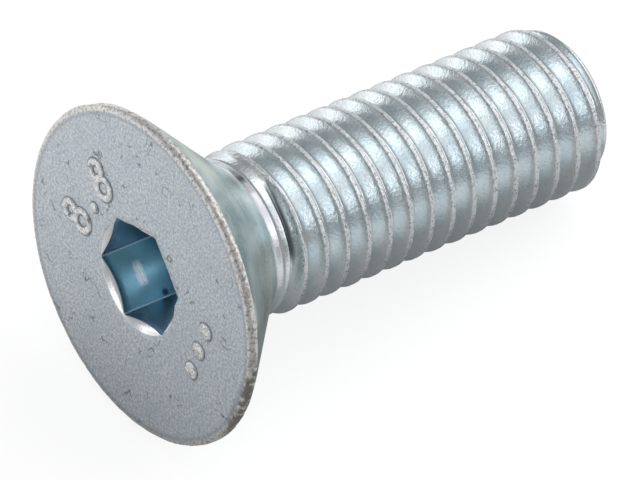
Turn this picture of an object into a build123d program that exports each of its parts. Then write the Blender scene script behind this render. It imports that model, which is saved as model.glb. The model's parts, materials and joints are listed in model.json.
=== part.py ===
from build123d import *
import os
from math import atan, ceil, cos, degrees, radians, sin, sqrt, tan

# A hexagon-socket countersunk screw, M10 x 30, lying on a flat surface.
# It is one forged and thread-rolled piece of steel. It is drawn upright on its own axis, with the
# head's face at zero and the tip above it, and then laid down. Lengths are in millimetres and
# angles in degrees. Turns are measured round the axis from the side that comes to lie on top.

# Head
screw_length = 30.0        # head face to tip
head_diameter = 20.0
rim_height = 0.5           # straight band round the head's edge
rim_rounding = 0.35        # where that band meets the face
cone_angle = 90.0          # the whole angle of the countersunk seat
under_head_radius = 0.8    # fillet between the cone and the neck

# Knocks on the rim, from being tumbled among others
knock_width = 2.5          # from corner to corner along the rim
knock_hollow = 0.03        # how far it dips below the straight line between its corners
knock_turns = (180.0, 243.0, 318.0, 65.0)   # the screw rests on the corners of the first

# Thread
crest_diameter = 9.85      # over the thread
pitch = 1.5
flank_angle = 60.0         # the whole angle between two flanks
depth_share = 0.6          # crest to root, as a share of the pitch
crest_share = 0.185        # width of the crest, as a share of the pitch
groove_start_turn = 35.0   # where round the axis the groove has its first full section
groove_lead = 0.2          # that section's distance before the end of the neck
runout_pitches = 2         # how far the groove runs on from there, straight out of the neck

# Neck and tip
neck_relief = 0.325        # how far the neck's surface lies below the crests
neck_length = 1.2          # from the cone to the shoulder where the thread begins
shoulder_angle = 30.0      # slope of that shoulder from the axis
tip_relief = 0.825         # how far the tip's chamfer goes below the crests
tip_angle = 45.0           # slope of that chamfer from the axis

# Hexagon socket
socket_width = 6.05        # across the flats
socket_depth = 4.0         # of the full hexagon
socket_turn = 11.9         # of one corner
floor_angle = 120.0        # of the drill point under the hexagon
mouth_margin = 0.06        # how far the chamfered mouth goes beyond the corners
mouth_angle = 120.0

# Raised marks on the face
mark_height = 0.15         # above the face
mark_root = 0.3            # how deep a mark starts inside the head
stroke = 0.4
lower_loop = 1.6           # outer diameters of a figure 8
upper_loop = 1.4
point_diameter = 0.6
pip_diameter = 1.0
pip_count = 3
figure_turns = (-90.0, -50.0)   # the two figures of the strength number 8.8
point_turn = -70.0
pip_turn = 100.0           # middle of the row of pips
pip_spacing = 1.7          # centre to centre
mark_margin = 0.9          # from the socket's mouth to the foot of a figure

# Sizes that follow from these
head_radius = head_diameter / 2
crest_radius = crest_diameter / 2
neck_radius = crest_radius - neck_relief
tip_radius = crest_radius - tip_relief
root_radius = crest_radius - depth_share * pitch
cone_end = rim_height + (head_radius - neck_radius) / tan(radians(cone_angle / 2))
neck_end = cone_end + neck_length
shoulder_end = neck_end + neck_relief / tan(radians(shoulder_angle))
chamfer_start = screw_length - tip_relief / tan(radians(tip_angle))
socket_corner = socket_width / 2 / cos(radians(30))
mouth_radius = socket_corner + mouth_margin
resting_radius = sqrt(head_radius ** 2 - (knock_width / 2) ** 2)
resting_slope = atan((resting_radius - crest_radius) / (chamfer_start - rim_height))


def blank():
    """The turned shape: head, countersunk seat, neck, plain shank and chamfered tip."""
    rim_arc = rim_rounding * (1 - cos(radians(45)))
    with BuildPart() as body:
        with BuildSketch(Plane.XZ):
            with BuildLine():
                Line((0, 0), (head_radius - rim_rounding, 0))
                ThreePointArc(
                    (head_radius - rim_rounding, 0),
                    (head_radius - rim_arc, rim_arc),
                    (head_radius, rim_rounding),
                )
                Polyline(
                    (head_radius, rim_rounding),
                    (head_radius, rim_height),
                    (neck_radius, cone_end),
                    (neck_radius, neck_end),
                    (crest_radius, shoulder_end),
                    (crest_radius, chamfer_start),
                    (tip_radius, screw_length),
                    (0, screw_length),
                    (0, 0),
                )
            make_face()
        revolve(axis=Axis.Z)
        seat_edge = body.edges().filter_by(GeomType.CIRCLE).sort_by_distance((neck_radius, 0, cone_end))[0]
        fillet(seat_edge, under_head_radius)
    return body.part


def knocks():
    """Cutters for the shallow hollows knocked into the rim, each as steep as the screw lies."""
    outward = (cos(resting_slope), 0, sin(resting_slope))
    lengthwise = (-sin(resting_slope), 0, cos(resting_slope))
    half = knock_width / 2
    with BuildSketch(Plane((resting_radius, 0, rim_height), x_dir=outward, z_dir=lengthwise)) as section:
        with BuildLine():
            ThreePointArc((0, -half), (-knock_hollow, 0), (0, half))
            Polyline((0, half), (half, half), (half, -half), (0, -half))
        make_face()
    cutter = extrude(section.sketch, knock_width, both=True)
    return [Rot(0, 0, turn) * cutter for turn in knock_turns]


def groove():
    """The thread's groove as cutters: a straight run-out, then two turns at a time to past the tip."""
    turns = 2
    outer_radius = crest_radius + crest_share * pitch / 2

    def half_width(radius):
        crest_half = (1 - crest_share) * pitch / 2
        return crest_half + (radius - crest_radius) * tan(radians(flank_angle / 2))

    with BuildSketch(Plane.XZ) as section:
        with BuildLine():
            Polyline(
                (root_radius, half_width(root_radius)),
                (outer_radius, half_width(outer_radius)),
                (outer_radius, -half_width(outer_radius)),
                (root_radius, -half_width(root_radius)),
                close=True,
            )
        make_face()
    path = Helix(pitch, turns * pitch, crest_radius)
    first = neck_end - groove_lead
    start = Pos(0, 0, first) * Rot(0, 0, groove_start_turn)
    stretch = sweep(section.sketch, path=path, is_frenet=True)
    cutters = [start * extrude(section.sketch, amount=runout_pitches * pitch, dir=-(path % 0))]
    count = ceil((screw_length + pitch - first) / (turns * pitch))
    for index in range(count):
        cutters.append(Pos(0, 0, index * turns * pitch) * start * stretch)
    return cutters


def socket():
    """The hexagon with its drill point and its chamfered mouth."""
    floor_drop = socket_width / 2 / tan(radians(floor_angle / 2))
    mouth_drop = mouth_radius / tan(radians(mouth_angle / 2))
    hexagon = extrude(RegularPolygon(socket_corner, 6), socket_depth)
    drill = Pos(0, 0, socket_depth + floor_drop / 2) * Cone(socket_width / 2, 0, floor_drop)
    mouth = Pos(0, 0, mouth_drop / 2) * Cone(mouth_radius, 0, mouth_drop)
    return Rot(0, 0, socket_turn) * (hexagon + drill + mouth)


def marks():
    """A plain strength number and a row of plain pips, raised on the face."""
    height = lower_loop + upper_loop - stroke
    ring = mouth_radius + mark_margin + height / 2
    low = Pos(0, (lower_loop - height) / 2) * (Circle(lower_loop / 2) - Circle(lower_loop / 2 - stroke))
    high = Pos(0, (height - upper_loop) / 2) * (Circle(upper_loop / 2) - Circle(upper_loop / 2 - stroke))
    figure = low + high
    point = Pos(0, (point_diameter - height) / 2) * Circle(point_diameter / 2)
    pip = Circle(pip_diameter / 2)
    shapes = [(figure, turn, 0) for turn in figure_turns] + [(point, point_turn, 0)]
    for index in range(pip_count):
        shapes.append((pip, pip_turn, (index - (pip_count - 1) / 2) * pip_spacing))
    # A mark is drawn as it is read, its foot towards the socket and its top towards the rim.
    upright = Plane((0, 0, mark_root), x_dir=(0, 1, 0), z_dir=(0, 0, -1))
    solids = []
    for shape, turn, offset in shapes:
        solid = extrude(upright * Pos(offset, ring) * shape, mark_root + mark_height)
        solids.append(Rot(0, 0, turn) * solid)
    return solids


def screw():
    body = blank()
    for cutter in knocks() + groove():
        body = body - cutter
    body = body - socket()
    for mark in marks():
        body = body + mark
    return body


def lying(body):
    """Rest it on the corners of a knock and the last full crest, centred over the origin."""
    upper_side = (sin(resting_slope), 0, cos(resting_slope))
    to_the_tip = (cos(resting_slope), 0, -sin(resting_slope))
    tipped = Plane((0, 0, 0), x_dir=upper_side, z_dir=to_the_tip).location * body
    box = tipped.bounding_box()
    middle = box.center()
    print("axis slope", round(degrees(resting_slope), 3))
    return Pos(-middle.X, -middle.Y, -box.min.Z) * tipped


model = lying(screw())
os.makedirs("parts", exist_ok=True)
export_step(model, "parts/countersunk_socket_screw.step")
print("volume", round(model.volume, 2), "valid", model.is_valid)
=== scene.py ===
import json
import math

import bmesh
import bpy
import numpy as np
from mathutils import Matrix, Vector, noise


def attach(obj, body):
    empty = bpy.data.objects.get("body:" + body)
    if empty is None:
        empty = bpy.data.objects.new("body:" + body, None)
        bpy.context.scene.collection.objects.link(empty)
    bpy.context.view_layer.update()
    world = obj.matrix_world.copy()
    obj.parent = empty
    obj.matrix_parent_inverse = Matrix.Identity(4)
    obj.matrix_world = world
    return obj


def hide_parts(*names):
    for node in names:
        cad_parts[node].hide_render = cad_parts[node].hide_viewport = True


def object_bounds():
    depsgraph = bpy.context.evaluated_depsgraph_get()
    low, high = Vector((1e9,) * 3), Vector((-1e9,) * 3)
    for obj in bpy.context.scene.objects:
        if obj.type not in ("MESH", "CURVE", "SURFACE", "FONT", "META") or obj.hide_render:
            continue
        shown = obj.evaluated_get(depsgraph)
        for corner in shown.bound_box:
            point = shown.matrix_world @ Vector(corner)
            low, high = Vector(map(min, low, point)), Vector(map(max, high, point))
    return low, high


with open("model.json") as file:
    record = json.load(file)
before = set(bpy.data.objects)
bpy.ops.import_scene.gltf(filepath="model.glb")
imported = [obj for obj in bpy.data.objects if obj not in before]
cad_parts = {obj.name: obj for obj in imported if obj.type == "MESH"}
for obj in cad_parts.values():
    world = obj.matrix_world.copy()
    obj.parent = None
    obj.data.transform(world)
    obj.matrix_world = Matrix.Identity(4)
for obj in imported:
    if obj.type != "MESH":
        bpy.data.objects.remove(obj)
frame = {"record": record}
cad_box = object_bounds()

# ---------------------------------------------------------------------------------------------
# Head face. The screw is one piece of zinc-plated steel, and its skin is one mesh, made zone by zone
# in the screw's own frame: millimetres, distances along the axis from the face, and turns round the
# axis from the side that lies on top. The forged face is flat, satin, and open at the socket's mouth.
head_radius = 10.0
rim_rounding = 0.35         # where the face meets the rim
face_edge = head_radius - rim_rounding
face_steps = 14
face_unevenness = 0.012     # depth of the face's gentle hollows
hollow_size = 3.6           # a larger number makes finer hollows, and they get finer outwards
hollow_growth = 0.4

socket_width = 6.05         # across the flats
socket_turn = 11.9          # of one corner, in degrees
corner_rounding = 0.015     # taken off the hexagon's corners
mouth_radius = 3.553        # of the countersunk mouth
mouth_shift = 0.24          # how far the countersink ran to one side
mouth_turn = -160.0         # which way it ran, in degrees
least_chamfer = 0.03

fine_columns = 360          # points in a row round the head
columns = 180               # points in a row round the shank, and in the socket

fine_turns = math.radians(socket_turn) + np.arange(fine_columns) * 2 * math.pi / fine_columns
turns = math.radians(socket_turn) + np.arange(columns) * 2 * math.pi / columns

points = []
parts = []                  # the corner numbers of each small face, with the name of its finish


def ring(angles, radius, distance):
    """One round row of points. Radius and distance are numbers or one value per turn."""
    start = len(points)
    radius = np.broadcast_to(radius, angles.shape)
    distance = np.broadcast_to(distance, angles.shape)
    for angle, r, z in zip(angles, radius, distance):
        points.append((r * math.cos(angle), r * math.sin(angle), z))
    return list(range(start, len(points)))


def skin(rows, finish):
    """Quads between neighbouring round rows, and a fan where a row has half as many points."""
    for upper, lower in zip(rows, rows[1:]):
        if len(upper) == len(lower):
            for index in range(len(upper)):
                after = (index + 1) % len(upper)
                parts.append(((upper[index], upper[after], lower[after], lower[index]), finish))
            continue
        wide, narrow = (upper, lower) if len(upper) > len(lower) else (lower, upper)
        for index in range(len(narrow)):
            after = (index + 1) % len(narrow)
            middle = wide[2 * index + 1]
            beyond = wide[(2 * index + 2) % len(wide)]
            parts.append(((wide[2 * index], middle, narrow[index]), finish))
            parts.append(((middle, beyond, narrow[after], narrow[index]), finish))


def wobble(angles, size, depth, seed):
    """A seeded unevenness of this depth round a row. A larger size makes it finer."""
    return np.array([
        depth * noise.noise(Vector((size * math.cos(a), size * math.sin(a), seed)))
        for a in angles
    ])


def socket_outline(angles):
    """The hexagon, with its corners just rounded."""
    from_flat = np.mod(angles - math.radians(socket_turn), math.pi / 3) - math.pi / 6
    corner = socket_width / 2 / math.cos(math.radians(30)) - corner_rounding
    return np.minimum(socket_width / 2 / np.cos(from_flat), corner)


def mouth_outline(angles):
    """The outer edge of the socket's chamfer."""
    aside = mouth_shift * np.cos(angles - math.radians(mouth_turn))
    return np.maximum(mouth_radius - mouth_shift + aside, socket_outline(angles) + least_chamfer)


face_rows = []
face_inner = mouth_outline(fine_turns)
for step in range(face_steps + 1):
    radius = face_inner + (face_edge - face_inner) * step / face_steps
    if step in (0, face_steps):
        uneven = 0
    else:
        uneven = np.abs(wobble(fine_turns, hollow_size + hollow_growth * step, face_unevenness, 3.0))
    face_rows.append(ring(fine_turns, radius, uneven))
skin(face_rows, "face_zinc")


def wire(tree, kind, settings=None, **inputs):
    """Add a node. An input is a value, or the output of another node. Its name is that of the
    socket, or i and the socket's number where sockets share a name."""
    made = tree.nodes.new(kind)
    for name, value in (settings or {}).items():
        setattr(made, name, value)
    for name, value in inputs.items():
        numbered = name[0] == "i" and name[1:].isdigit()
        slot = made.inputs[int(name[1:]) if numbered else name.replace("_", " ")]
        if isinstance(value, bpy.types.NodeSocket):
            tree.links.new(value, slot)
        else:
            slot.default_value = value
    return made


def reckon(tree, operation, first, second=0.0):
    """One sum on two values, such as ADD, MULTIPLY or MAXIMUM."""
    return wire(tree, "ShaderNodeMath", {"operation": operation}, i0=first, i1=second).outputs[0]


def times(tree, first, second):
    return reckon(tree, "MULTIPLY", first, second)


def span(tree, value, low, high, to_low=0.0, to_high=1.0):
    """Map a value from one span to another, held within it."""
    made = wire(tree, "ShaderNodeMapRange", i0=value, i1=low, i2=high, i3=to_low, i4=to_high)
    return made.outputs["Result"]


def blend(tree, share, first, second):
    """The first colour where the share is 0, and the second where it is 1."""
    made = wire(tree, "ShaderNodeMix", {"data_type": "RGBA"})
    for slot, value in ((0, share), (6, first), (7, second)):
        if isinstance(value, bpy.types.NodeSocket):
            tree.links.new(value, made.inputs[slot])
        else:
            made.inputs[slot].default_value = (*value, 1) if isinstance(value, tuple) else value
    return made.outputs[2]


def distance_along(tree, place, way):
    made = wire(tree, "ShaderNodeVectorMath", {"operation": "DOT_PRODUCT"}, i0=place, i1=way)
    return made.outputs["Value"]


def noise_at(tree, place, scale, detail=2.0):
    return wire(tree, "ShaderNodeTexNoise", Vector=place, Scale=scale, Detail=detail).outputs["Fac"]


def attribute(tree, name):
    return wire(tree, "ShaderNodeAttribute", {"attribute_name": name}).outputs["Fac"]


def group(name, inputs, outputs):
    """A shader node group with named inputs and outputs."""
    tree = bpy.data.node_groups.new(name, "ShaderNodeTree")
    for title, kind in inputs:
        tree.interface.new_socket(title, in_out="INPUT", socket_type=kind)
    for title, kind in outputs:
        tree.interface.new_socket(title, in_out="OUTPUT", socket_type=kind)
    return tree, tree.nodes.new("NodeGroupInput").outputs, tree.nodes.new("NodeGroupOutput").inputs


def use(tree, shared, **inputs):
    """Put a shared group into a material."""
    return wire(tree, "ShaderNodeGroup", {"node_tree": shared}, **inputs).outputs[0]


def start_finish(name):
    """A metal material, with the screw's own millimetre coordinates at hand."""
    material = bpy.data.materials.new(name)
    material.use_nodes = True
    tree = material.node_tree
    shader = tree.nodes["Principled BSDF"]
    shader.inputs["Metallic"].default_value = 1
    place = wire(tree, "ShaderNodeAttribute", {"attribute_name": "own_place"}).outputs["Vector"]
    return tree, shader, place


# Fine specks, as a mask. Share is about how much of the surface they cover.
speck_softness = 0.1
specks, given, result = group(
    "specks",
    [("Place", "NodeSocketVector"), ("Scale", "NodeSocketFloat"), ("Share", "NodeSocketFloat")],
    [("Mask", "NodeSocketFloat")],
)
grains = wire(
    specks, "ShaderNodeTexNoise", Vector=given["Place"], Scale=given["Scale"], Detail=3.0, Roughness=0.65
)
speck_edge = reckon(specks, "SUBTRACT", 1.0, given["Share"])
speck_core = reckon(specks, "ADD", speck_edge, speck_softness)
specks.links.new(span(specks, grains.outputs["Fac"], speck_edge, speck_core), result["Mask"])

# Short curly hair scratches in patches, as a mask: the thin lines where a noise crosses its middle.
hair_width = 0.026
hair_patch = (0.585, 0.625)
scratches, given, result = group(
    "hair_scratches",
    [("Place", "NodeSocketVector"), ("Scale", "NodeSocketFloat"), ("Patches", "NodeSocketFloat")],
    [("Mask", "NodeSocketFloat")],
)
curls = wire(
    scratches, "ShaderNodeTexNoise", Vector=given["Place"], Scale=given["Scale"], Detail=1.5, Distortion=1.2
)
off_middle = reckon(scratches, "ABSOLUTE", reckon(scratches, "SUBTRACT", curls.outputs["Fac"], 0.5))
line = span(scratches, off_middle, 0.0, hair_width, 1.0, 0.0)
patch = span(scratches, noise_at(scratches, given["Place"], given["Patches"], 1.0), *hair_patch)
scratches.links.new(times(scratches, line, patch), result["Mask"])

# Fine uneven grain of the plating, as a normal. Height is in metres.
grain, given, result = group(
    "plating_grain",
    [("Place", "NodeSocketVector"), ("Scale", "NodeSocketFloat"), ("Height", "NodeSocketFloat")],
    [("Normal", "NodeSocketVector")],
)
swells = wire(
    grain, "ShaderNodeTexNoise", Vector=given["Place"], Scale=given["Scale"], Detail=3.0, Roughness=0.6
)
bump = wire(grain, "ShaderNodeBump", Strength=1.0, Distance=given["Height"], Height=swells.outputs["Fac"])
grain.links.new(bump.outputs["Normal"], result["Normal"])

# One stretch of the rim and of the face beside it that was battered brown and rough, as a mask.
battered_turn = math.radians(101)
battered_way = (math.cos(battered_turn), math.sin(battered_turn), 0)
battered_reach = (9.15, 9.65)
battered, given, result = group(
    "battered_patch", [("Place", "NodeSocketVector")], [("Mask", "NodeSocketFloat")]
)
ragged = span(battered, noise_at(battered, given["Place"], 2.5, 3.0), 0.40, 0.54)
near_patch = span(battered, distance_along(battered, given["Place"], battered_way), *battered_reach)
battered.links.new(times(battered, near_patch, ragged), result["Mask"])

# The face's finish: grey-blue zinc, clouded, finely specked dark and white, with hair scratches and
# a dull line just inside the rim.
grey_blue = (0.72, 0.79, 0.85)
pale_blue = (0.82, 0.87, 0.91)
mid_blue = (0.50, 0.56, 0.62)
dark_speck = (0.36, 0.38, 0.41)
bright_speck = (1.0, 1.0, 1.0)
scratch_black = (0.18, 0.18, 0.19)
battered_grey = (0.34, 0.33, 0.32)
line_grey = (0.35, 0.36, 0.37)
tree, shader, place = start_finish("face_zinc")
colour = blend(tree, span(tree, noise_at(tree, place, 0.5), 0.3, 0.7), grey_blue, pale_blue)
fine = span(tree, noise_at(tree, place, 5.5, 5.0), 0.40, 0.58)
colour = blend(tree, times(tree, fine, 0.7), colour, mid_blue)
dark = use(tree, specks, Place=place, Scale=7.0, Share=0.42)
colour = blend(tree, times(tree, dark, 0.75), colour, dark_speck)
bright = use(tree, specks, Place=place, Scale=7.5, Share=0.45)
colour = blend(tree, times(tree, bright, 0.95), colour, bright_speck)
hairs = use(tree, scratches, Place=place, Scale=0.6, Patches=0.75)
colour = blend(tree, times(tree, hairs, 0.8), colour, scratch_black)
colour = blend(tree, times(tree, use(tree, battered, Place=place), 0.8), colour, battered_grey)
reach = attribute(tree, "reach")
inner_line = times(tree, span(tree, reach, 9.35, 9.5), span(tree, reach, 9.5, 9.7, 1.0, 0.3))
colour = blend(tree, times(tree, inner_line, 0.35), colour, line_grey)
tree.links.new(colour, shader.inputs["Base Color"])
shader.inputs["Roughness"].default_value = 0.5
tree.links.new(use(tree, grain, Place=place, Scale=5.0, Height=0.00004), shader.inputs["Normal"])

# ---------------------------------------------------------------------------------------------
# Raised marks on the face: the plain strength number 8.8 and a row of three plain pips. They are
# forged with the head and soft at the edge, with a painted highlight, white, on top and painted
# shade round the foot.
mark_height = 0.15
stroke = 0.4
lower_loop = 1.6            # outer diameters of a figure 8
upper_loop = 1.4
point_diameter = 0.6
pip_diameter = 1.0
figure_height = lower_loop + upper_loop - stroke
mark_ring = mouth_radius + 0.9 + figure_height / 2
figure_turns = (-90, -50)
point_turn = -70
pip_turn = 100
pip_places = (-1.7, 0, 1.7)
mark_columns = 48
dent_size = 2.8             # how fine the dents in a mark's top are, and how strong
dent_share = 0.5
mark_fullness = 0.85        # how high its top stands between dents, as a share
pip_tip = 0.02              # radius of the flat in the middle of a pip
rise = {}                   # how far up a raised mark a point lies, from 0 to 1

# Across a stroke: how far from its middle, and the share of the height. The skirt sinks in the face.
swell = [(-0.34, -0.03), (-0.28, 0.04), (-0.23, 0.24), (-0.18, 0.66), (-0.11, 0.94), (0, 1)]
outward_swell = [(-offset, share) for offset, share in reversed(swell[:-1])]


def on_face(turn, right, up, share):
    """A point of a mark that is read with its foot to the socket, at a share of the mark's height."""
    angle = math.radians(turn)
    x = up * math.cos(angle) - right * math.sin(angle)
    y = up * math.sin(angle) + right * math.cos(angle)
    lumpy = 1 + dent_share * noise.noise(Vector((x * dent_size, y * dent_size, 4)))
    dented = min(1.0, mark_fullness * lumpy) if share > 0 else 1
    rise[len(points)] = max(0.0, share)
    points.append((x, y, -mark_height * share * dented))
    return len(points) - 1


def mark_row(turn, right, up, reach, count):
    """A round row of points of a mark, given each point's share of the height with the reach."""
    radius, share = reach
    row = []
    for index in range(count):
        angle = 2 * math.pi * index / count
        row.append(on_face(turn, right + radius * math.cos(angle), up + radius * math.sin(angle), share))
    return row


def loop_mark(turn, right, up, outer):
    """A raised ring."""
    middle = (outer - stroke) / 2
    across = [(middle + offset, share) for offset, share in swell + outward_swell]
    skin([mark_row(turn, right, up, reach, mark_columns) for reach in across], "mark_zinc")


def pip_mark(turn, right, up, outer):
    """A raised dot."""
    across = []
    for offset, share in swell:
        radius = max(pip_tip, outer / 2 - stroke / 2 - offset) if offset < 0 else pip_tip
        across.append((radius, share))
    rows = [mark_row(turn, right, up, reach, mark_columns // 2) for reach in across]
    skin(rows, "mark_zinc")
    parts.append((tuple(rows[-1]), "mark_zinc"))


for turn in figure_turns:
    loop_mark(turn, 0, mark_ring + (lower_loop - figure_height) / 2, lower_loop)
    loop_mark(turn, 0, mark_ring + (figure_height - upper_loop) / 2, upper_loop)
pip_mark(point_turn, 0, mark_ring + (point_diameter - figure_height) / 2, point_diameter)
for pip_place in pip_places:
    pip_mark(pip_turn, pip_place, mark_ring, pip_diameter)

painted_highlight_white = (1.0, 1.0, 1.0)
foot_blue = (0.74, 0.79, 0.85)
foot_shade_grey = (0.22, 0.24, 0.26)
dent_grey = (0.20, 0.22, 0.24)
tree, shader, place = start_finish("mark_zinc")
up = attribute(tree, "rise")
# Painted highlight: each mark turns white towards its top.
colour = blend(tree, span(tree, up, 0.3, 0.9), foot_blue, painted_highlight_white)
# Painted shade: a dark line round the foot of each mark, where it meets the face.
outline = times(tree, span(tree, up, 0.0, 0.06), span(tree, up, 0.12, 0.5, 1.0, 0.0))
colour = blend(tree, times(tree, outline, 0.8), colour, foot_shade_grey)
dents = use(tree, specks, Place=place, Scale=2.6, Share=0.42)
colour = blend(tree, times(tree, dents, 0.8), colour, dent_grey)
tree.links.new(colour, shader.inputs["Base Color"])
tree.links.new(span(tree, up, 0.1, 0.7, 0.5, 0.13), shader.inputs["Roughness"])
tree.links.new(use(tree, grain, Place=place, Scale=3.5, Height=0.00022), shader.inputs["Normal"])

# ---------------------------------------------------------------------------------------------
# Rim of the head: a rounded edge and a narrow straight band, left by the forging tool. Tumbling
# among others roughened it and gave it a few shallow knocks, each as steep as the screw lies.
rim_height = 0.5
knock_width = 2.5
knock_hollow = 0.03
knock_turns = (180.0, 243.0, 318.0, 65.0)
chamfer_start = 29.175      # distance of the thread's last full crest, on which the screw lies
crest_radius = 4.925
resting_radius = math.sqrt(head_radius ** 2 - (knock_width / 2) ** 2)
resting_tangent = (resting_radius - crest_radius) / (chamfer_start - rim_height)
arc_steps = 7
edge_nicks = 0.05           # depth of the fine nicks on the rounded edge, and on the band
band_nicks = 0.045
nick_size = 22              # how fine those are
nick_drift = 9              # how fast they change along the axis
broad_marks = 0.03          # depth of the broader marks under them, and how fine these are
broad_size = 7
band = ((0.40, 0.0), (0.45, 0.002), (0.475, 0.012), (0.50, 0.03), (0.54, 0.075))  # distance, inset


def knocked(radius, distance):
    """The rim's outline at this distance from the face, cut back at each knock."""
    for turn in knock_turns:
        away = fine_turns - math.radians(turn)
        across = head_radius * np.sin(away) / (knock_width / 2)
        floor = resting_radius - (distance - rim_height) * resting_tangent - knock_hollow * (1 - across ** 2)
        near = (np.cos(away) > 0.9) & (np.abs(across) < 1.1)
        radius = np.where(near, np.minimum(radius, floor / np.maximum(np.cos(away), 0.9)), radius)
    return radius


def tumbled(depth, distance):
    """How deep tumbling marked the rim at this distance from the face: fine nicks over broad ones."""
    nicks = np.abs(wobble(fine_turns, nick_size, depth, 5 + distance * nick_drift))
    return nicks + np.abs(wobble(fine_turns, broad_size, broad_marks, 9.0))


rim_rows = [face_rows[-1]]
for step in range(1, arc_steps + 1):
    angle = math.pi / 2 * step / arc_steps
    radius = face_edge + rim_rounding * math.sin(angle)
    distance = rim_rounding * (1 - math.cos(angle))
    depth = tumbled(edge_nicks, distance)
    distances = distance + depth * math.cos(angle) * 0.6
    rim_rows.append(ring(fine_turns, knocked(radius - depth * math.sin(angle), distances), distances))
for distance, inset in band:
    depth = tumbled(band_nicks, distance)
    rim_rows.append(ring(fine_turns, knocked(head_radius - inset - depth, distance), distance))
skin(rim_rows, "rim_zinc")

bare_bright = (0.90, 0.89, 0.88)
hollow_brown = (0.50, 0.46, 0.42)
battered_brown = (0.22, 0.20, 0.17)
tree, shader, place = start_finish("rim_zinc")
colour = blend(tree, use(tree, specks, Place=place, Scale=5.5, Share=0.49), bare_bright, hollow_brown)
colour = blend(tree, times(tree, use(tree, battered, Place=place), 0.85), colour, battered_brown)
tree.links.new(colour, shader.inputs["Base Color"])
shader.inputs["Roughness"].default_value = 0.36
tree.links.new(use(tree, grain, Place=place, Scale=4.0, Height=0.00006), shader.inputs["Normal"])

# ---------------------------------------------------------------------------------------------
# Countersunk seat: a smooth forged cone of 90 degrees and the fillet under the head. Its zinc is
# glossy, with a green and yellow cast in soft clouds, and painted shade on its lower side.
neck_radius = 4.6
cone_end = 5.9              # where the cone would meet the neck without the fillet
cone_start = 0.62
under_head_radius = 0.8
half_bend = math.radians(45)
tangent = under_head_radius * math.tan(half_bend / 2)
cone_low = cone_end - tangent * math.cos(half_bend)
cone_steps = 12
fillet_end = cone_end + tangent
fillet_steps = 8
seat_steps = 5              # how many of the fillet's steps belong to this zone


def fillet_point(step):
    """Radius and distance on the fillet under the head, counted from the cone to the neck."""
    angle = half_bend * (1 - step / fillet_steps)
    radius = neck_radius + under_head_radius * (1 - math.cos(angle))
    return radius, fillet_end - under_head_radius * math.sin(angle)


seat_rows = [rim_rows[-1]]
for step in range(1, cone_steps + 1):
    distance = cone_start + (cone_low - cone_start) * step / cone_steps
    seat_rows.append(ring(fine_turns, head_radius - (distance - rim_height), distance))
for step in range(1, seat_steps + 1):
    seat_rows.append(ring(fine_turns if step < seat_steps else turns, *fillet_point(step)))
skin(seat_rows, "seat_zinc")

green_dark = (0.52, 0.68, 0.68)
green_pale = (0.90, 1.0, 1.0)
seat_shade_green = (0.34, 0.46, 0.46)
yellow_cast = (0.72, 0.78, 0.60)
lower_turn = math.radians(85)
lower_way = (math.cos(lower_turn), math.sin(lower_turn), 0)
tree, shader, place = start_finish("seat_zinc")
cloud = noise_at(tree, place, 0.4)
colour = blend(tree, span(tree, cloud, 0.34, 0.66), green_dark, green_pale)
# Painted shade: the seat darkens to a deeper green on its lower side.
lower = reckon(tree, "DIVIDE", distance_along(tree, place, lower_way), attribute(tree, "reach"))
colour = blend(tree, span(tree, lower, 0.7, 0.98, 0.0, 0.6), colour, seat_shade_green)
yellow = span(tree, noise_at(tree, place, 0.22, 0.0), 0.54, 0.66)
colour = blend(tree, times(tree, yellow, 0.4), colour, yellow_cast)
tree.links.new(colour, shader.inputs["Base Color"])
tree.links.new(span(tree, cloud, 0.4, 0.6, 0.26, 0.38), shader.inputs["Roughness"])
tree.links.new(use(tree, grain, Place=place, Scale=2.5, Height=0.00002), shader.inputs["Normal"])

# ---------------------------------------------------------------------------------------------
# Neck and rolled thread. A turned-down neck with a fine seam, then a right-hand thread rolled into
# the shank: glossy flanks, rough crests with a seam along them, and a first groove that starts as an
# even, shallower ring before it joins the helix. The blank's outline also holds the tip's chamfer.
neck_end = 7.1
shoulder_end = 7.663
root_radius = 4.025
pitch = 1.5
tip_radius = 4.1
screw_length = 29.998       # 2 micrometres short of the solid, so that the skin stays inside it
crest_half = 0.139          # half the width of a crest
flank_slope = 1 / math.tan(math.radians(30))
groove_first = 6.9          # where the helix would start: its distance, and its turn in degrees
groove_turn = 35.0
groove_even = 7.25          # the ring that the groove starts as: its distance, extra radius and turn
groove_lift = 0.33
even_turn = math.radians(100)
ring_end = 1.2              # how far back from its start the ring runs out, in radians
edge_softness = 0.035
softening = ((-1.6, 0.11), (-0.8, 0.235), (0, 0.31), (0.8, 0.235), (1.6, 0.11))  # shift, weight
uncut = 99.0                # a radius that cuts nothing

# The blank's outline, as distance and radius: fillet, neck with its seam, shoulder, shank, chamfer.
seat_end = fillet_point(seat_steps)[1]
profile = [(seat_end - 0.2, neck_radius + 0.06)]
profile += [fillet_point(step)[::-1] for step in range(seat_steps, fillet_steps + 1)]
profile += [(6.46, neck_radius), (6.49, neck_radius - 0.05), (6.52, neck_radius), (6.56, neck_radius + 0.06)]
profile += [(6.90, neck_radius + 0.10), (neck_end, neck_radius + 0.11), (shoulder_end, crest_radius)]
profile += [(chamfer_start, crest_radius), (screw_length, tip_radius), (30.5, 3.6)]
profile_z, profile_r = (np.array(values) for values in zip(*profile))


def groove_wall(width):
    """How far from the axis the groove's wall stands at this distance from the groove's middle."""
    edge = pitch / 2 - crest_half
    return np.maximum(root_radius, crest_radius + (width - edge) * flank_slope)


def first_groove(angle):
    """Of the first winding at this turn: the turn from its start, its middle and its extra radius."""
    turn = np.mod(angle - math.radians(groove_turn), 2 * math.pi)
    helix = groove_first + turn / (2 * math.pi) * pitch
    started = np.clip(turn / even_turn, 0, 1)
    return turn, np.maximum(helix, groove_even), groove_lift * (1 - started ** 2)


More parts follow.
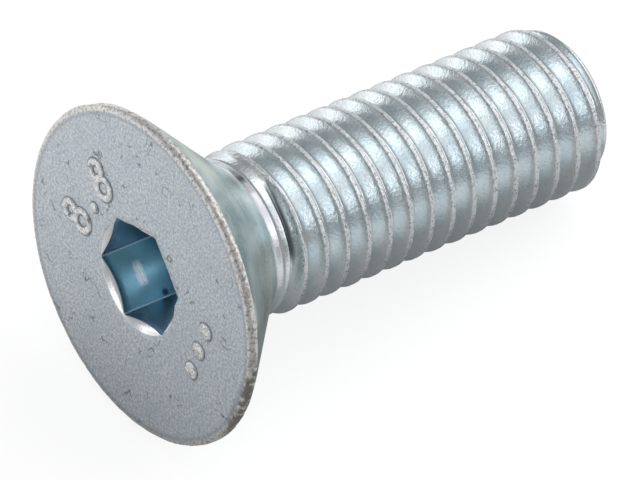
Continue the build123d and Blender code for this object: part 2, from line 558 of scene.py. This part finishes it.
def cut_radius(angle, z):
    """The outline after rolling, for arrays of turns (radians) and distances."""
    outline = np.interp(z, profile_z, profile_r)
    turn, first, lift = first_groove(angle)
    helix = groove_first + turn / (2 * math.pi) * pitch
    count = np.round((z - helix) / pitch)
    later = groove_wall(np.abs(z - helix - count * pitch))
    later = np.where(count > 0.5, later, uncut)
    earlier = groove_wall(np.abs(z - first)) + lift
    back = np.minimum(2 * math.pi - turn, ring_end)
    leaving = (groove_wall(np.abs(z - groove_even)) + groove_lift) / np.cos(back)
    leaving = np.where(back < ring_end, leaving, uncut)
    return np.minimum.reduce([outline, earlier, later, leaving])


def rolled_radius(angle, z):
    """cut_radius with its edges rounded, by averaging along the axis."""
    return sum(weight * cut_radius(angle, z + shift * edge_softness) for shift, weight in softening)


# Each column of points follows that outline. Some rows are plain rings, and the rest run round with
# the helix, so that crest and root stay crisp. A row of the helix that comes too near a ring is left out.
round_rows = [6.10, 6.16, 6.24, 6.34, 6.42, 6.46, 6.475, 6.49, 6.505, 6.52, 6.56, 6.62, 6.72]
round_rows += [29.14, 29.20, 29.90, 29.95, 29.985]
half_places = (0, 0.045, 0.09, 0.135, 0.18, 0.23, 0.29, 0.38, 0.49, 0.60, 0.66, 0.705)
offsets = sorted({*half_places, *(-place for place in half_places), pitch / 2})
nearness = 0.012
end_margin = 0.02
windings = range(-3, 18)

column_distances = []
column_names = []
for angle in turns:
    crest_middle = groove_first + pitch / 2 + pitch * (angle - math.radians(groove_turn)) / (2 * math.pi)
    rows = [(z, ("round", index)) for index, z in enumerate(round_rows)]
    taken = np.array(round_rows + [seat_end, screw_length])
    for winding in windings:
        for index, offset in enumerate(offsets):
            z = crest_middle + winding * pitch + offset
            inside = seat_end + end_margin < z < screw_length - end_margin
            if inside and np.abs(taken - z).min() > nearness:
                rows.append((z, ("rolled", winding * len(offsets) + index)))
    rows.sort()
    column_distances.append([seat_end] + [z for z, _ in rows] + [screw_length])
    column_names.append([("round", -1)] + [name for _, name in rows] + [("round", len(round_rows))])

# Wear: a seam wanders along the middle of the crest, broken here and there, among fine pits.
crest_from = 4.72           # radius at which the crest's roughness starts
crest_fade = 0.15
rough_from = 7.2            # distance at which it starts
seam_depth = 0.035
seam_half = 0.045
seam_middle = 0.015
seam_wander = 0.05          # how far it wanders, and how fine its wandering and its breaks are
wander_size = 0.9
break_size = 2.3
seam_share = 0.5            # how much of it there is, and how much that changes along it
seam_change = 0.9
crest_pits = 0.02           # depth of the pits, and how fine they are
pit_size = 5.0
flank_ripple = 0.004        # depth of the ripple, and how fine it is
ripple_size = 1.3


def held(value):
    return max(0.0, min(1.0, value))


def worn(radius, low, aside, distance):
    """The radius after wear: a broken seam and pits on the crest, and a slight ripple all over."""
    crest = held((radius - crest_from) / crest_fade) if distance > rough_from else 0.0
    seam_at = seam_middle + seam_wander * noise.noise(low * wander_size)
    broken = seam_share + seam_change * noise.noise(low * break_size + Vector((7, 0, 0)))
    seam = math.exp(-(((aside - seam_at) / seam_half) ** 2)) * broken
    radius -= crest * (seam_depth * max(seam, 0) + crest_pits * abs(noise.noise(low * pit_size)))
    return radius - flank_ripple * abs(noise.noise(low * ripple_size + Vector((0, 3, 0))))


# Masks for the finish. The first groove's bottom has painted shade round its start. A band of the neck is
# matt on one side of the top, and has painted shade where that ends.
crest_share = {}            # how far a point belongs to the rough crest, from 0 to 1
painted_shade = {}                 # how far a point is dark
matt_neck = {}              # how far a point belongs to the matt band
crest_band = 0.2            # half the width of the rough band, and the width of its fade
crest_band_fade = 0.06
crest_start = 0.4           # the length over which the rough band begins
groove_shade_turn = math.radians(42)        # how far the dark runs past the groove's start, and its fade
groove_shade_turn_fade = math.radians(10)
groove_shade_before = 0.6           # how far the dark runs before the groove's start, in radians
groove_shade_aside = 0.03
groove_shade_half = 0.17
band_from = 6.04            # the neck's band along the axis, with the fade at each end
band_from_fade = 0.05
band_to = 6.47
band_to_fade = 0.03
matt_from = 4               # where the band is matt, in degrees from the top, with its fades
matt_from_fade = 5
matt_to = 74
matt_to_fade = 12
dark_below = 15             # where it is dark instead, deepest at a spot near the top
dark_from = -34
dark_fade = 8
dark_share = 0.4
spot_turn = 1
spot_half = 5


def groove_shade_at(turn):
    """How much painted shade the first groove's bottom has at this turn from its start."""
    if turn > math.pi:
        return max(0.0, 1 - (2 * math.pi - turn) / groove_shade_before)
    return held((groove_shade_turn - turn) / groove_shade_turn_fade)


def matt_at(from_top):
    """How matt the neck's band is at this many degrees from the top."""
    return held(min((from_top - matt_from) / matt_from_fade, (matt_to - from_top) / matt_to_fade))


def dark_at(from_top):
    """How much painted shade the neck's band has at this many degrees from the top."""
    if from_top >= dark_below:
        return 0.0
    shaded = dark_share * held((from_top - dark_from) / dark_fade)
    return max(shaded, math.exp(-(((from_top - spot_turn) / spot_half) ** 2)))


column_points = []
for column, angle in enumerate(turns):
    z = np.array(column_distances[column][1:])
    r = rolled_radius(np.full(z.shape, angle), z)
    turn, starting, _ = first_groove(angle)
    helix = groove_first + turn / (2 * math.pi) * pitch
    from_crest = (np.mod((z - helix) / pitch, 1.0) - 0.5) * pitch
    groove_shade_middle = (groove_even if turn > math.pi else starting) + groove_shade_aside
    from_top = math.degrees(math.remainder(angle, 2 * math.pi))
    numbers = [seat_rows[-1][column]]
    for distance, radius, aside in zip(z, r, from_crest):
        low = Vector((radius * math.cos(angle), radius * math.sin(angle), distance))
        if distance < screw_length - 0.001:
            radius = worn(radius, low, aside, distance)
        number = len(points)
        begun = held((distance - neck_end) / crest_start)
        crest_share[number] = begun * held((crest_band - abs(aside)) / crest_band_fade)
        in_band = held((distance - band_from) / band_from_fade) * held((band_to - distance) / band_to_fade)
        matt_neck[number] = in_band * matt_at(from_top)
        # Painted shade: the first groove's bottom round its start.
        painted_shade[number] = groove_shade_at(turn) * math.exp(-(((distance - groove_shade_middle) / groove_shade_half) ** 4))
        # Painted shade on the neck's band, past its matt part and deepest at a spot near the top.
        painted_shade[number] += in_band * dark_at(from_top)
        numbers.append(number)
        points.append((radius * math.cos(angle), radius * math.sin(angle), distance))
    column_points.append(numbers)

for column in range(columns):
    after = (column + 1) % columns
    left, right = column_points[column], column_points[after]
    left_z, right_z = column_distances[column], column_distances[after]
    left_names, right_names = column_names[column], column_names[after]
    if after == 0:
        right_names = [
            (kind, number - len(offsets)) if kind == "rolled" else (kind, number)
            for kind, number in right_names
        ]
    i = j = 0
    while i < len(left) - 1 or j < len(right) - 1:
        both = i < len(left) - 1 and j < len(right) - 1
        if both and left_names[i + 1] == right_names[j + 1]:
            parts.append(((left[i], right[j], right[j + 1], left[i + 1]), "thread_zinc"))
            i += 1
            j += 1
        elif j == len(right) - 1 or (both and left_z[i + 1] <= right_z[j + 1]):
            parts.append(((left[i], right[j], left[i + 1]), "thread_zinc"))
            i += 1
        else:
            parts.append(((left[i], right[j], right[j + 1]), "thread_zinc"))
            j += 1

flank_blue = (0.80, 0.88, 0.92)
flank_pale = (0.88, 0.93, 0.95)
dull_blue = (0.55, 0.64, 0.69)
crest_pale = (0.86, 0.91, 0.95)
pit_grey = (0.34, 0.34, 0.34)
neck_grey = (0.80, 0.80, 0.87)
shade_black = (0.07, 0.08, 0.08)
tree, shader, place = start_finish("thread_zinc")
crest = attribute(tree, "crest")
neck = attribute(tree, "matt_neck")
flank = blend(tree, span(tree, noise_at(tree, place, 0.7), 0.35, 0.65), flank_blue, flank_pale)
dull = use(tree, specks, Place=place, Scale=6.0, Share=0.44)
flank = blend(tree, times(tree, dull, 0.45), flank, dull_blue)
pits = use(tree, specks, Place=place, Scale=7.0, Share=0.47)
crest_colour = blend(tree, times(tree, pits, 0.85), crest_pale, pit_grey)
colour = blend(tree, crest, flank, crest_colour)
colour = blend(tree, neck, colour, neck_grey)
# Painted shade, near black, in the first groove and on the neck's band.
colour = blend(tree, times(tree, attribute(tree, "painted_shade"), 0.9), colour, shade_black)
tree.links.new(colour, shader.inputs["Base Color"])
rougher = reckon(tree, "MAXIMUM", crest, neck)
tree.links.new(span(tree, rougher, 0.0, 1.0, 0.2, 0.3), shader.inputs["Roughness"])
height = span(tree, crest, 0.0, 1.0, 0.00002, 0.00007)
tree.links.new(use(tree, grain, Place=place, Scale=5.0, Height=height), shader.inputs["Normal"])

# ---------------------------------------------------------------------------------------------
# Tip: the end of the wire, sheared off before the thread was rolled. It is slightly dished, plated
# dull, and uneven.
tip_outline = ((3.98, screw_length), (3.85, 29.99), (3.4, 29.95), (2.4, 29.9), (1.2, 29.87), (0.3, 29.86))
tip_unevenness = 0.03
tip_rows = [[numbers[-1] for numbers in column_points]]
for radius, distance in tip_outline:
    uneven = np.abs(wobble(turns, radius * 1.5, tip_unevenness, 2.0))
    tip_rows.append(ring(turns, radius, distance - uneven))
skin(tip_rows, "tip_zinc")
parts.append((tuple(tip_rows[-1]), "tip_zinc"))

tip_grey = (0.66, 0.69, 0.72)
tip_dull = (0.52, 0.54, 0.57)
tree, shader, place = start_finish("tip_zinc")
colour = blend(tree, use(tree, specks, Place=place, Scale=6.0, Share=0.48), tip_grey, tip_dull)
tree.links.new(colour, shader.inputs["Base Color"])
shader.inputs["Roughness"].default_value = 0.42
tree.links.new(use(tree, grain, Place=place, Scale=3.0, Height=0.00004), shader.inputs["Normal"])

# ---------------------------------------------------------------------------------------------
# Socket mouth: the chamfer that a 120 degree countersink cut bright round the hexagon, a little to
# one side.
mouth_slope = math.tan(math.radians(60))
mouth_bevel = 0.012         # at the chamfer's edge with the face, and with the hexagon
hexagon_bevel = 0.008
hexagon = socket_outline(turns)
mouth_edge = mouth_outline(turns)
mouth_depth = (mouth_edge - hexagon) / mouth_slope
mouth_rows = [
    face_rows[0],
    ring(turns, mouth_edge - mouth_bevel, mouth_bevel / 2),
    ring(turns, (mouth_edge + hexagon) / 2, mouth_depth / 2),
    ring(turns, hexagon + hexagon_bevel, mouth_depth - hexagon_bevel / 2),
]
skin(mouth_rows, "mouth_zinc")

mouth_bright = (0.98, 0.98, 1.0)
mouth_pale = (0.88, 0.89, 0.93)
tree, shader, place = start_finish("mouth_zinc")
colour = blend(tree, use(tree, specks, Place=place, Scale=3.0, Share=0.4), mouth_bright, mouth_pale)
tree.links.new(colour, shader.inputs["Base Color"])
shader.inputs["Roughness"].default_value = 0.25
tree.links.new(use(tree, grain, Place=place, Scale=3.0, Height=0.00001), shader.inputs["Normal"])

# ---------------------------------------------------------------------------------------------
# Hexagon socket: six punched flats over a drill point, smooth, with a deep blue passivated film. One
# flat is painted a darker teal as shade, with a painted highlight as a pale streak, painted highlights
# along its edges, and a dark round spot.
socket_depth = 4.0
wall_start = 0.012          # below the chamfer
corner_step = 0.04          # how far the corner at the bottom is rounded, and the ledge inside it
ledge = 0.12
wall_shares = (0.12, 0.3, 0.5, 0.7, 0.85, 0.95, 0.985)
floor_shares = (0.9, 0.7, 0.45, 0.2, 0.05)
drill_radius = socket_width / 2 - 0.14
floor_drop = 1.7
wall_rows = [mouth_rows[-1], ring(turns, hexagon, mouth_depth + wall_start)]
for share in wall_shares:
    wall_rows.append(ring(turns, hexagon, mouth_depth + (socket_depth - mouth_depth) * share))
wall_rows.append(ring(turns, hexagon - corner_step, socket_depth - corner_step / 2))
wall_rows.append(ring(turns, hexagon - ledge, socket_depth))
wall_rows.append(ring(turns, drill_radius, socket_depth))
for share in floor_shares:
    wall_rows.append(ring(turns, drill_radius * share, socket_depth + floor_drop * (1 - share)))
skin(wall_rows, "socket_zinc")
parts.append((tuple(wall_rows[-1]), "socket_zinc"))

film_violet = (0.70, 0.78, 0.92)
film_green = (0.68, 0.84, 0.90)
shaded_flat_teal = (0.25, 0.47, 0.54)
streak_highlight_white = (1.0, 1.0, 1.0)
edge_highlight_pale = (0.9, 1.0, 1.0)
dark_spot_black = (0.03, 0.04, 0.07)
wall_turn = math.radians(socket_turn + 210)
inward = (math.cos(wall_turn), math.sin(wall_turn), 0)
across = (-math.sin(wall_turn), math.cos(wall_turn), 0)
downward = (0, 0, 1)
flat_half = socket_width / 2 * math.tan(math.radians(30))
streak_depth = 1.95
streak_aside = 0.05
streak_stretch = (1.0, 1.0, 9.0)
dark_spot_aside = -1.45
dark_spot_depth = 3.05
dark_spot_middle = Vector(inward) * socket_width / 2 + Vector(across) * dark_spot_aside + Vector((0, 0, dark_spot_depth))
edge_aside = flat_half - 0.03


def held_near(tree, place, way, middle, inner, outer):
    """A mask: 1 within the inner width of a distance along a direction, and 0 beyond the outer."""
    apart = reckon(tree, "ABSOLUTE", reckon(tree, "SUBTRACT", distance_along(tree, place, way), middle))
    return span(tree, apart, inner, outer, 1.0, 0.0)


tree, shader, place = start_finish("socket_zinc")
colour = blend(tree, span(tree, noise_at(tree, place, 0.6), 0.35, 0.65), film_violet, film_green)
on_wall = held_near(tree, place, inward, socket_width / 2, 0.05, 0.1)
# Painted shade: one flat is a darker teal than the others.
colour = blend(tree, on_wall, colour, shaded_flat_teal)
stretched = wire(tree, "ShaderNodeVectorMath", {"operation": "MULTIPLY"}, i0=place, i1=streak_stretch)
broken = span(tree, noise_at(tree, stretched.outputs["Vector"], 1.6), 0.35, 0.5, 0.5, 1.0)
# Painted highlight: a pale, broken streak across the one flat.
streak = times(
    tree,
    held_near(tree, place, downward, streak_depth, 0.16, 0.36),
    held_near(tree, place, across, streak_aside, 0.4, 0.8),
)
streak = times(tree, times(tree, streak, on_wall), broken)
# Painted highlights: pale lines along the flat's two edges, a little rougher than the film.
edges = reckon(
    tree,
    "MAXIMUM",
    held_near(tree, place, across, edge_aside, 0.02, 0.06),
    held_near(tree, place, across, -edge_aside, 0.02, 0.06),
)
edges = times(tree, edges, on_wall)
# A dark round spot low on the flat, near a corner.
from_dark_spot = wire(tree, "ShaderNodeVectorMath", {"operation": "DISTANCE"}, i0=place, i1=dark_spot_middle)
dark_spot = span(tree, from_dark_spot.outputs["Value"], 0.12, 0.26, 1.0, 0.0)
# Painted highlights on the flat, the streak and its edges, and a dark round spot.
colour = blend(tree, streak, colour, streak_highlight_white)
colour = blend(tree, times(tree, edges, 0.7), colour, edge_highlight_pale)
colour = blend(tree, times(tree, dark_spot, 0.9), colour, dark_spot_black)
tree.links.new(colour, shader.inputs["Base Color"])
painted_highlights = reckon(tree, "MAXIMUM", streak, edges)
tree.links.new(span(tree, painted_highlights, 0.0, 1.0, 0.22, 0.34), shader.inputs["Roughness"])
tree.links.new(use(tree, grain, Place=place, Scale=2.0, Height=0.00001), shader.inputs["Normal"])

# ---------------------------------------------------------------------------------------------
# The whole screw: the zones above as one mesh, laid on the floor by the frame's own mounts. Hard
# edges stay only in the socket and round the tip.
millimetre = 0.001
hard_edge = math.radians(38)
hard_finishes = {"socket_zinc", "tip_zinc"}
mounts = {mount["name"]: mount for mount in frame["record"]["mounts"]}
face_centre = Vector(mounts["hexagon_socket"]["pos_m"])
along = Vector(mounts["thread"]["axis"]).normalized()
upward = (Vector((0, 0, 1)) - along * along.z).normalized()
sideways = along.cross(upward)
lay = Matrix.Translation(face_centre) @ Matrix(
    [
        [upward.x, sideways.x, along.x, 0],
        [upward.y, sideways.y, along.y, 0],
        [upward.z, sideways.z, along.z, 0],
        [0, 0, 0, 1],
    ]
) @ Matrix.Scale(millimetre, 4)

mesh = bpy.data.meshes.new("screw")
mesh.from_pydata([tuple(lay @ Vector(point)) for point in points], [], [corners for corners, _ in parts])
finishes = list(dict.fromkeys(finish for _, finish in parts))
for finish in finishes:
    mesh.materials.append(bpy.data.materials[finish])
mesh.polygons.foreach_set("material_index", [finishes.index(finish) for _, finish in parts])
shop = bmesh.new()
shop.from_mesh(mesh)
bmesh.ops.recalc_face_normals(shop, faces=shop.faces)
for edge in shop.edges:
    if len(edge.link_faces) == 2 and edge.calc_face_angle() > hard_edge:
        if hard_finishes & {finishes[face.material_index] for face in edge.link_faces}:
            edge.smooth = False
for face in shop.faces:
    face.smooth = True
shop.to_mesh(mesh)
shop.free()

own_place = mesh.attributes.new("own_place", "FLOAT_VECTOR", "POINT")
own_place.data.foreach_set("vector", [value for point in points for value in point])
reaches = {number: math.hypot(point[0], point[1]) for number, point in enumerate(points)}
for name, values in (
    ("reach", reaches),
    ("rise", rise),
    ("crest", crest_share),
    ("painted_shade", painted_shade),
    ("matt_neck", matt_neck),
):
    shares = [values.get(number, 0.0) for number in range(len(points))]
    mesh.attributes.new(name, "FLOAT", "POINT").data.foreach_set("value", shares)

screw = bpy.data.objects.new("screw", mesh)
bpy.context.scene.collection.objects.link(screw)
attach(screw, "root")
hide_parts("countersunk_socket_screw")

# ---------------------------------------------------------------------------------------------
# Floor: a sheet of white paper. The camera sees it white, and the metal mirrors it as a painted glow
# that is weak close to the screw as a painted shadow, stronger behind it than before it, and painted
# dark far beyond the head.
floor_half = 3.0
floor_gap = 0.00002
floor_mesh = bpy.data.meshes.new("floor")
shop = bmesh.new()
bmesh.ops.create_grid(shop, x_segments=1, y_segments=1, size=floor_half)
shop.to_mesh(floor_mesh)
shop.free()
floor = bpy.data.objects.new("floor", floor_mesh)
floor.location.z = cad_box[0].z - floor_gap
bpy.context.scene.collection.objects.link(floor)

seen_white = 0.8
least_glow = 0.07
paper = bpy.data.materials.new("white_paper")
paper.use_nodes = True
ground = paper.node_tree
shader = ground.nodes["Principled BSDF"]
shader.inputs["Roughness"].default_value = 0.9
shader.inputs["Specular IOR Level"].default_value = 0.1
shader.inputs["Emission Color"].default_value = (1, 1, 1, 1)
here = wire(ground, "ShaderNodeTexCoord").outputs["Object"]
far = wire(ground, "ShaderNodeVectorMath", {"operation": "LENGTH"}, i0=here).outputs["Value"]
sides = wire(ground, "ShaderNodeSeparateXYZ", Vector=here).outputs
backward = sides["Y"]
tipward = sides["X"]
rays = wire(ground, "ShaderNodeLightPath").outputs
# Painted shade: the paper's colour is dark far beyond the head, for the metal to mirror.
ground.links.new(span(ground, tipward, -0.12, -0.05, 0.04, 0.4), shader.inputs["Base Color"])
# Painted light: a glow that only the metal mirrors, with a painted shadow where it is weak close to the
# screw.
near_glow = span(ground, far, 0.01, 0.034, 0.0, 0.5)
far_glow = span(ground, far, 0.035, 0.3, 0.0, 0.15)
behind = span(ground, backward, -0.02, 0.012, 0.1, 1.0)
glow = times(ground, reckon(ground, "ADD", near_glow, far_glow), behind)
close_before = span(ground, backward, -0.0085, -0.013, 0.0, 0.25)
further_before = span(ground, backward, -0.013, -0.03, 0.0, 0.2)
before = reckon(ground, "ADD", close_before, further_before)
before = times(ground, before, span(ground, backward, -0.065, -0.042, 0.1, 1.0))
before = times(ground, before, span(ground, tipward, -0.012, 0.0))
glow = reckon(ground, "ADD", reckon(ground, "ADD", glow, before), least_glow)
mirrored = times(ground, reckon(ground, "MAXIMUM", rays["Is Glossy Ray"], rays["Is Transmission Ray"]), glow)
seen = times(ground, rays["Is Camera Ray"], seen_white)
ground.links.new(reckon(ground, "MAXIMUM", seen, mirrored), shader.inputs["Emission Strength"])
floor_mesh.materials.append(paper)

# ---------------------------------------------------------------------------------------------
# Studio round the screw: soft grey surroundings that are brightest high up on one side.
room_levels = ((0.3, 0.33), (0.5, 0.26), (0.6, 0.37), (0.7, 0.52), (0.85, 0.78))
room_dark = (0.33, 0.34, 0.35, 1)
room_bright = (0.95, 0.95, 0.95, 1)


def direction(azimuth, elevation):
    """Which way an azimuth and an elevation point, in degrees. Azimuth 0 is -Y, and 90 is +X."""
    a, e = math.radians(azimuth), math.radians(elevation)
    return Vector((math.sin(a) * math.cos(e), -math.cos(a) * math.cos(e), math.sin(e)))


world = bpy.data.worlds.new("studio")
bpy.context.scene.world = world
world.use_nodes = True
room = world.node_tree
sky = room.nodes["Background"]
sky.inputs["Strength"].default_value = 1.0
looking = wire(room, "ShaderNodeTexCoord").outputs["Generated"]
shading = wire(room, "ShaderNodeValToRGB", i0=distance_along(room, looking, direction(75, 50)))
stops = shading.color_ramp.elements
stops[0].position = 0.0
stops[0].color = room_dark
stops[1].position = 1.0
stops[1].color = room_bright
for position, level in room_levels:
    stops.new(position).color = (level, level, level, 1)
room.links.new(shading.outputs["Color"], sky.inputs["Color"])

# Soft lamps, each named for where it stands as seen from the screw.
lamp_distance = 0.6


def softbox(name, azimuth, elevation, width, height, radiance):
    """A soft studio lamp that faces the screw from this azimuth and elevation."""
    lamp = bpy.data.lights.new(name, "AREA")
    lamp.shape = "RECTANGLE"
    lamp.size = width
    lamp.size_y = height
    lamp.energy = radiance * math.pi * width * height
    stand = bpy.data.objects.new(name, lamp)
    away = direction(azimuth, elevation)
    stand.location = away * lamp_distance
    stand.rotation_euler = away.to_track_quat("Z", "Y").to_euler()
    bpy.context.scene.collection.objects.link(stand)


softbox("overhead", 98, 58, 0.3, 0.2, 0.9)
softbox("left_back", -101, 17, 0.24, 0.2, 1.0)
softbox("left_low", -88, 10, 0.18, 0.1, 0.45)
softbox("back_left", -151, 4, 0.38, 0.16, 1.0)
softbox("front_right", 48, 22, 0.3, 0.2, 1.2)
softbox("back_right", 152, 8, 0.5, 0.14, 0.9)

# Camera: on the head's side, from above, aimed beside the middle of the face.
camera_azimuth = -37.26
camera_elevation = 47.57
camera_distance = 0.6212266     # in metres, as is the aim
camera_lens = 634.5
aim_right = 0.0099517
aim_above = 0.0020288
away = direction(camera_azimuth, camera_elevation)
right = Vector((math.cos(math.radians(camera_azimuth)), math.sin(math.radians(camera_azimuth)), 0))
above = away.cross(right)
camera_data = bpy.data.cameras.new("camera")
camera_data.sensor_width = 36
camera_data.lens = camera_lens
camera = bpy.data.objects.new("camera", camera_data)
camera.location = face_centre + right * aim_right + above * aim_above + away * camera_distance
camera.rotation_euler = away.to_track_quat("Z", "Y").to_euler()
bpy.context.scene.collection.objects.link(camera)
bpy.context.scene.camera = camera
bpy.context.scene.view_settings.view_transform = "Standard"
